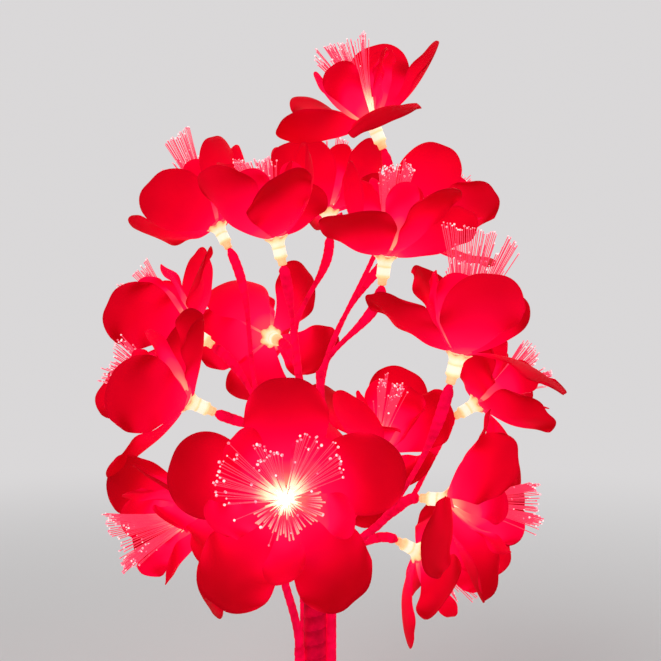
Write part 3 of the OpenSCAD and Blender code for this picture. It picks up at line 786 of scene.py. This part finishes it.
# Half profile of a holder: radius and height in millimetres, and how brightly it is lit there
HOLDER_PROFILE = (
    (0.0, -16.9, 0.35), (1.9, -16.9, 0.35), (2.5, -16.6, 0.4), (2.6, -15.6, 0.45), (2.45, -15.2, 0.4),
    (2.6, -14.8, 0.5), (2.65, -13.4, 0.5), (3.3, -12.7, 0.55), (3.75, -12.3, 0.6), (3.95, -11.9, 0.7),
    (3.95, -11.3, 0.72), (3.75, -11.0, 0.85), (3.8, -9.5, 1.0), (3.8, -7.4, 1.0), (3.75, -6.8, 0.85),
    (4.0, -6.5, 0.72), (4.0, -5.9, 0.72), (3.8, -5.5, 0.85), (4.0, -4.2, 0.9), (4.6, -2.8, 0.8),
    (5.5, -1.6, 0.65), (6.6, -0.75, 0.45), (7.1, -0.35, 0.3), (6.9, -0.2, 0.3), (6.4, -0.25, 0.5),
    (4.4, -0.3, 0.9), (3.0, -0.2, 1.0), (3.0, 3.2, 1.0), (2.6, 3.4, 1.0), (0.0, 3.4, 1.0),
)
STAR_POINTS = 6


def make_holders(branch, finish):
    """Lit lamp holders of a branch: crimped tail, ribbed barrel and a trumpet flare with a star edge."""
    bm = bmesh.new()
    lit = bm.verts.layers.float.new("lit")
    heat = {round(z, 2): value for _, z, value in HOLDER_PROFILE}
    profile = [(r * MM, z * MM) for r, z, _ in HOLDER_PROFILE]
    for flower in FLOWERS:
        if flower.branch != branch:
            continue
        barrel = spun(bm, profile, 30, Matrix.Identity(4))
        for v in barrel:
            v[lit] = heat.get(round(v.co.z / MM, 2), 0.8)
            angle = math.atan2(v.co.y, v.co.x)
            spread = smooth_step(0.0042, 0.0071, v.co.xy.length) * (v.co.z < -0.0001)
            star = math.cos(STAR_POINTS * angle)
            v.co.xy *= 1 + 0.10 * spread * star
            v.co.z += 0.0007 * spread * star
            v[lit] -= 0.25 * spread * max(0.0, -star)
        bmesh.ops.transform(bm, matrix=flower_frame(flower), verts=barrel)
    finish_normals(bm)
    made = piece(bm, "holders_%s_lit" % branch, [finish], "branch_" + branch)
    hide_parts("lamp_holders_" + branch)


# Light tufts

GOLDEN = math.radians(137.5)
FIBRE_R = 0.00024
BEAD_R = 0.00055
ROOT_RING = 0.003
SHEAF = 16
STUBS = 36
DIODE_R = 0.0024
DIODE_SHOULDER = 0.0040

# Look of a flower's fibres: share of the length up to which they are bright and from which they are dim,
# thickness along them, and size of their bright ends, as shares of the radii above
FibreLook = namedtuple("FibreLook", "bright_to dim_from widths bead")
CUPPED_FIBRES = FibreLook(0.05, 0.65, (1.9, 1.6, 1.1, 1.0, 1.0, 1.0), 1.0)
OPEN_FIBRES = FibreLook(0.22, 0.72, (2.3, 2.2, 1.5, 1.0, 0.85, 0.85), 1.3)

# Frill of an open flower: first and last heading of each arc, and thickness and light along a fibre of it
FRILL_ARCS = ((-62, -14), (-4, 40), (52, 108))
FRILL_WIDTHS = (0.4, 0.35, 0.35, 0.4, 1.2, 1.7)
FRILL_LIGHT = (0.1, 0.0, 0.0, 0.0, 0.35, 0.55)

# Flat combs of fibres with straight ends: heading and lean of the first fibre and of the last, share of the
# fibre length, how much longer the last is than the first, fibres, unevenness. These flowers' combs are set
# as they show
Comb = namedtuple("Comb", "first last share slope teeth loose", defaults=(0.24,))
SET_COMBS = {
    1: [Comb((0, 5), (180, 11), 1.0, 0.04, 26, 0.05), Comb((60, 15), (130, 13), 0.72, 0.1, 9)],
    10: [Comb((200, 21), (20, 3), 1.0, -0.04, 28, 0.04), Comb((22, 8), (14, 13), 0.97, -0.05, 9, 0.06),
         Comb((208, 23), (216, 12), 0.74, 0.0, 9), Comb((120, 12), (60, 14), 0.85, 0.1, 8)],
    16: [Comb((254, 43), (222, 39), 0.98, 0.2, 14), Comb((206, 33), (176, 27), 0.95, -0.2, 14),
         Comb((164, 42), (142, 40), 1.0, 0.2, 13), Comb((136, 43), (110, 42), 1.0, -0.15, 13),
         Comb((276, 42), (256, 43), 0.84, 0.1, 8), Comb((222, 40), (190, 38), 0.62, 0.15, 9)],
}


def slant(angle, heading):
    """Direction that leans from a flower's axis by an angle, towards a heading."""
    return Vector((math.sin(angle) * math.cos(heading), math.sin(angle) * math.sin(heading), math.cos(angle)))


def fibre_line(angle, heading, length, share):
    """Path of one fibre, from the ferrule: it leaves upright and then leans out."""
    root = Vector((0, 0, FERRULE_TOP - 0.0006)) + ROOT_RING * share * slant(math.pi / 2, heading)
    bend = root + 0.45 * length * slant(0.62 * angle, heading)
    return bezier_path([root, bend, root + length * slant(angle, heading)], 5)


def inner_room(flower):
    """Angle between a flower's axis and its inner petals, in degrees."""
    return 90 - (PETAL_RISE - flower.opening + INNER_STEEPER)


def loose_combs(rng, room):
    """Combs of any other flower, no two alike."""
    combs = []
    for k in range(5):
        middle = 72 * (k + rng.uniform(-0.3, 0.3))
        half = rng.uniform(22, 44)
        lean = room * rng.uniform(0.45, 1.0)
        combs.append(Comb((middle - half, lean * rng.uniform(0.9, 1.05)), (middle + half, lean),
                          rng.uniform(0.84, 0.97), rng.uniform(-0.12, 0.12), rng.randint(10, 16),
                          rng.uniform(0.05, 0.2)))
    return combs


def tuft_lines(flower, rng):
    """Fibres of a flower: a loose sheaf of uneven lengths and flat combs. Yields each path."""
    room = inner_room(flower)
    for k in range(SHEAF):
        share = math.sqrt((k + 0.5) / SHEAF)
        lean = math.radians(0.8 * room * share)
        yield fibre_line(lean, GOLDEN * k, flower.reach * rng.uniform(0.55, 0.92), share)
    for comb in SET_COMBS.get(flower.number) or loose_combs(rng, room):
        first, last = (slant(math.radians(lean), math.radians(heading)) for heading, lean in comb[:2])
        for j in range(comb.teeth):
            t = j / (comb.teeth - 1)
            aim = first.lerp(last, t + 0.3 * comb.loose * rng.uniform(-1, 1))
            lean = math.atan2(aim.xy.length, aim.z)
            length = flower.reach * comb.share * (1 + comb.slope * (t - 0.5))
            length *= 1.01 - comb.loose * rng.random() ** 2
            yield fibre_line(lean, math.atan2(aim.y, aim.x), length * aim.length,
                             min(0.95, math.degrees(lean) / room))


def frill_lines(flower, rng):
    """Short thick fibre ends that ring the diode of an open flower, in arcs. Yields each path."""
    if not is_open(flower):
        return
    lean = math.radians(inner_room(flower) - 2)
    for first, last in FRILL_ARCS:
        length = flower.reach * rng.uniform(0.40, 0.54)
        teeth = round((last - first) / 4)
        for j in range(teeth + 1):
            heading = math.radians(first + (last - first) * j / teeth + rng.uniform(-2.5, 2.5))
            yield fibre_line(lean, heading, length * rng.uniform(0.84, 1.1), 0.9)


def make_tuft(flower, fibre, tip, lens):
    """Diode, ferrule, root fringe and fibres with bright ends."""
    rng = random.Random(100 + flower.number)
    bm = bmesh.new()
    lit = bm.verts.layers.float.new("lit")
    look = OPEN_FIBRES if is_open(flower) else CUPPED_FIBRES
    for line in tuft_lines(flower, rng):
        rings, _ = sweep(bm, line, [FIBRE_R * w for w in look.widths], 4)
        for i, ring in enumerate(rings):
            for v in ring:
                v[lit] = 1 - smooth_step(look.bright_to, look.dim_from, i / (len(rings) - 1))
        bead_r = BEAD_R * look.bead * rng.uniform(0.6, 1.25)
        bead = bmesh.ops.create_icosphere(bm, subdivisions=1, radius=bead_r,
                                          matrix=Matrix.Translation(line[-1]))["verts"]
        for f in {f for v in bead for f in v.link_faces}:
            f.material_index = 1
    for line in frill_lines(flower, rng):
        rings, _ = sweep(bm, line, [FIBRE_R * w for w in FRILL_WIDTHS], 4)
        for ring, heat in zip(rings, FRILL_LIGHT):
            for v in ring:
                v[lit] = heat
    for k in range(STUBS):
        heading = math.tau * k / STUBS
        lean = math.radians(inner_room(flower) * rng.uniform(0.6, 0.95))
        root = Vector((0, 0, FERRULE_TOP - 0.0009)) + ROOT_RING * slant(math.pi / 2, heading)
        reach = rng.uniform(0.005, 0.012)
        line = [root + reach * t * slant(lean * (0.6 + 0.4 * t), heading) for t in (0, 0.5, 1)]
        rings, _ = sweep(bm, line, [0.0006, 0.00045, 0.00025], 4)
        for ring, heat in zip(rings, (1.0, 0.95, 0.72)):
            for v in ring:
                v[lit] = heat
    collar = [(0.0031, 0.0033), (0.0038, 0.0035), (0.0038, 0.0046), (0.0033, FERRULE_TOP),
              (0.0022, FERRULE_TOP)]
    for v in spun(bm, collar, 20, Matrix.Identity(4)):
        v[lit] = 1.0
    dome = [(DIODE_R, -0.0060), (DIODE_R, DIODE_SHOULDER)]
    dome += [(DIODE_R * math.cos(a), DIODE_SHOULDER + DIODE_R * math.sin(a))
             for a in (0.4, 0.8, 1.2, math.pi / 2)]
    glowing = spun(bm, dome, 16, Matrix.Identity(4))
    for f in {f for v in glowing for f in v.link_faces}:
        f.material_index = 2
    bmesh.ops.transform(bm, matrix=flower_frame(flower), verts=bm.verts[:])
    finish_normals(bm)
    made = piece(bm, "fibres_%02d" % flower.number, [fibre, tip, lens], "branch_" + flower.branch)
    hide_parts("light_tuft_%02d" % flower.number)


# Trunk

def make_trunk_tape(finish):
    """Spiral of tape on the trunk, from the root binding to the trunk's shoulder."""
    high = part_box("trunk")[1]
    radius = high.x
    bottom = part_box("base_shell")[1].z
    top = high.z - 0.0035
    count = round((top - bottom) / 0.0007)
    path = [Vector((0, 0, bottom + 0.0005 + (top - bottom) * i / count)) for i in range(count + 1)]
    bm = taped_mesh()
    rings, frames = sweep(bm, path, [radius + 0.00005] * len(path), 48)
    wind_tape(bm, rings, frames, *TRUNK_LAP)
    finish_normals(bm)
    piece(bm, "trunk_tape", [finish], "base")


def make_root_tape(finish):
    """Spirals of tape on the stems that run down beside the trunk."""
    bm = taped_mesh()
    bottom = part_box("root_binding")[1].z - 0.002
    for branch in FORKS:
        foot = pivot(branch)
        if foot.xy.length < MM:
            continue
        top = foot.z - 0.004
        count = round((top - bottom) / 0.001)
        path = [Vector((foot.x, foot.y, bottom + (top - bottom) * i / count)) for i in range(count + 1)]
        rings, frames = sweep(bm, path, [STEM_R + 0.00002] * len(path), 18)
        wind_tape(bm, rings, frames, *ROOT_LAP)
    finish_normals(bm)
    piece(bm, "root_tape", [finish], "base")


def make_binding_tape(finish):
    """Tape wound round the roots at the foot of the trunk, with a wavy lap."""
    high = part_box("root_binding")[1]
    top_r = high.x - 0.003
    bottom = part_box("base_shell")[1].z
    count = round((high.z - bottom) / 0.0007)
    path = [Vector((0, 0, bottom + (high.z - bottom) * i / count)) for i in range(count + 1)]
    radii = [top_r + 0.0022 * (1 - i / count) + 0.00015 for i in range(count + 1)]
    radii[-1] -= 0.0012
    bm = taped_mesh()
    rings, frames = sweep(bm, path, radii, 56)
    wind_tape(bm, rings[:-1], frames[:-1], *BINDING_LAP)
    finish_normals(bm)
    piece(bm, "binding_tape", [finish], "base")


# Stage

def background_rays(tree):
    """1 for the rays that show the background: the camera's, and those in gloss and clear plastic."""
    path = add(tree, "ShaderNodeLightPath")
    sharp = add(tree, "ShaderNodeMath", {0: path.outputs["Is Glossy Ray"],
                                         1: path.outputs["Is Transmission Ray"]}, operation="MAXIMUM")
    return add(tree, "ShaderNodeMath", {0: path.outputs["Is Camera Ray"], 1: sharp.outputs[0]},
               operation="MAXIMUM").outputs[0]


def set_stage():
    """Pale floor that fades into a pale surround, soft lights and the camera."""
    world = bpy.data.worlds.new("surround")
    scene.world = world
    world.use_nodes = True
    tree = world.node_tree
    tree.nodes.clear()
    light = add(tree, "ShaderNodeBackground", {"Color": (1, 1, 1, 1), "Strength": SKY_LIGHT})
    shown = add(tree, "ShaderNodeBackground", {"Color": SURROUND, "Strength": 1.0})
    both = add(tree, "ShaderNodeMixShader", {0: background_rays(tree), 1: light.outputs[0],
                                              2: shown.outputs[0]})
    add(tree, "ShaderNodeOutputWorld", {"Surface": both.outputs[0]})

    bm = bmesh.new()
    bmesh.ops.create_circle(bm, cap_ends=True, segments=96, radius=FLOOR_R)
    mesh = bpy.data.meshes.new("floor")
    bm.to_mesh(mesh)
    bm.free()
    floor = bpy.data.objects.new("floor", mesh)
    scene.collection.objects.link(floor)
    paper, tree, shader = surface("floor_paper", 0.9, 0.1)
    shader.inputs["Base Color"].default_value = FLOOR_COLOUR
    place = add(tree, "ShaderNodeVectorMath", {0: object_place(tree)}, operation="LENGTH")
    fade = add(tree, "ShaderNodeMapRange", {"Value": place.outputs["Value"], "From Min": FADE_FROM,
                                            "From Max": FADE_TO}, interpolation_type="SMOOTHSTEP")
    share = add(tree, "ShaderNodeMath", {0: fade.outputs[0], 1: background_rays(tree)}, operation="MULTIPLY")
    far = add(tree, "ShaderNodeEmission", {"Color": SURROUND, "Strength": 1.0})
    both = add(tree, "ShaderNodeMixShader", {0: share.outputs[0], 1: shader.outputs[0], 2: far.outputs[0]})
    out = next(n for n in tree.nodes if n.type == "OUTPUT_MATERIAL")
    tree.links.new(both.outputs[0], out.inputs["Surface"])
    mesh.materials.append(paper)

    for name, (place, size, watts) in LAMPS.items():
        lamp = bpy.data.lights.new(name, "AREA")
        lamp.size = size
        lamp.energy = watts
        holder = bpy.data.objects.new(name, lamp)
        holder.location = place
        holder.rotation_euler = (LAMPS_AIM - Vector(place)).to_track_quat("-Z", "Y").to_euler()
        scene.collection.objects.link(holder)

    camera = bpy.data.cameras.new("camera")
    camera.sensor_width = SENSOR_MM
    camera.lens = SENSOR_MM * FOCAL_PX / PHOTO_PX
    camera.clip_start = 0.01
    seat = bpy.data.objects.new("camera", camera)
    seat.location = CAMERA_AT
    seat.rotation_euler = (math.pi / 2, 0, 0)
    scene.collection.objects.link(seat)
    scene.camera = seat
    scene.view_settings.view_transform = "Standard"


# The lamp

def dress_base():
    """Finishes of the base's own parts, which keep their shapes."""
    black = moulded("base_plastic", (0.022, 0.020, 0.022), 0.5, 700.0, 0.0001)
    finishes = {
        "foot_pad": moulded("foot_rubber", (0.05, 0.05, 0.05), 0.9, 500.0, 0.0003, 0.2),
        "base_plate": moulded("plate_paint", (0.16, 0.16, 0.17), 0.5, 300.0, 0.0001),
        "base_screws": metal("screw_steel", (0.6, 0.6, 0.61), 0.3, 120.0),
        "ballast_ring": metal("ballast_iron", (0.22, 0.22, 0.23), 0.6, 60.0),
        "base_shell": black,
        "circuit_board": moulded("board_laminate", (0.02, 0.17, 0.07), 0.3, 200.0, 0.0001),
        "power_switch": moulded("switch_plastic", (0.045, 0.045, 0.05), 0.5, 500.0, 0.0001),
        "power_button": moulded("button_plastic", (0.55, 0.012, 0.04), 0.18, 40.0, 0.00005, 0.5),
        "power_inlet": moulded("inlet_plastic", (0.035, 0.035, 0.037), 0.45, 500.0, 0.0001),
    }
    finishes["trunk_nut"] = finishes["base_screws"]
    for name, finish in finishes.items():
        nodes[name].data.materials.clear()
        nodes[name].data.materials.append(finish)


def main():
    set_stage()
    dress_base()
    # The trunk's tape is darker than the stems' tape and glows less; the glow of both is painted light from
    # the lit blossoms.
    trunk_tape = crepe_tape("trunk_tape", (0.44, 0.0, 0.020), (0.66, 0.0, 0.034), 0.45, 0.28)
    stem_tape = crepe_tape("stem_tape", (0.60, 0.0, 0.030), (0.84, 0.0, 0.052), 0.62, 0.15)
    for name, finish in (("trunk", trunk_tape), ("root_binding", trunk_tape), ("stem_roots", stem_tape)):
        nodes[name].data.materials.clear()
        nodes[name].data.materials.append(finish)
    make_trunk_tape(trunk_tape)
    make_binding_tape(trunk_tape)
    make_root_tape(stem_tape)
    holder = lit_holder()
    for branch in FORKS:
        make_stem(branch, stem_tape)
        make_bend_sleeve(branch, stem_tape)
        make_holders(branch, holder)
    petals, fibre, tip, lens = petal_fabric(), lit_fibre(), lit_tip(), lit_diode()
    for flower in FLOWERS:
        make_blossom(flower, petals)
        make_tuft(flower, fibre, tip, lens)


main()
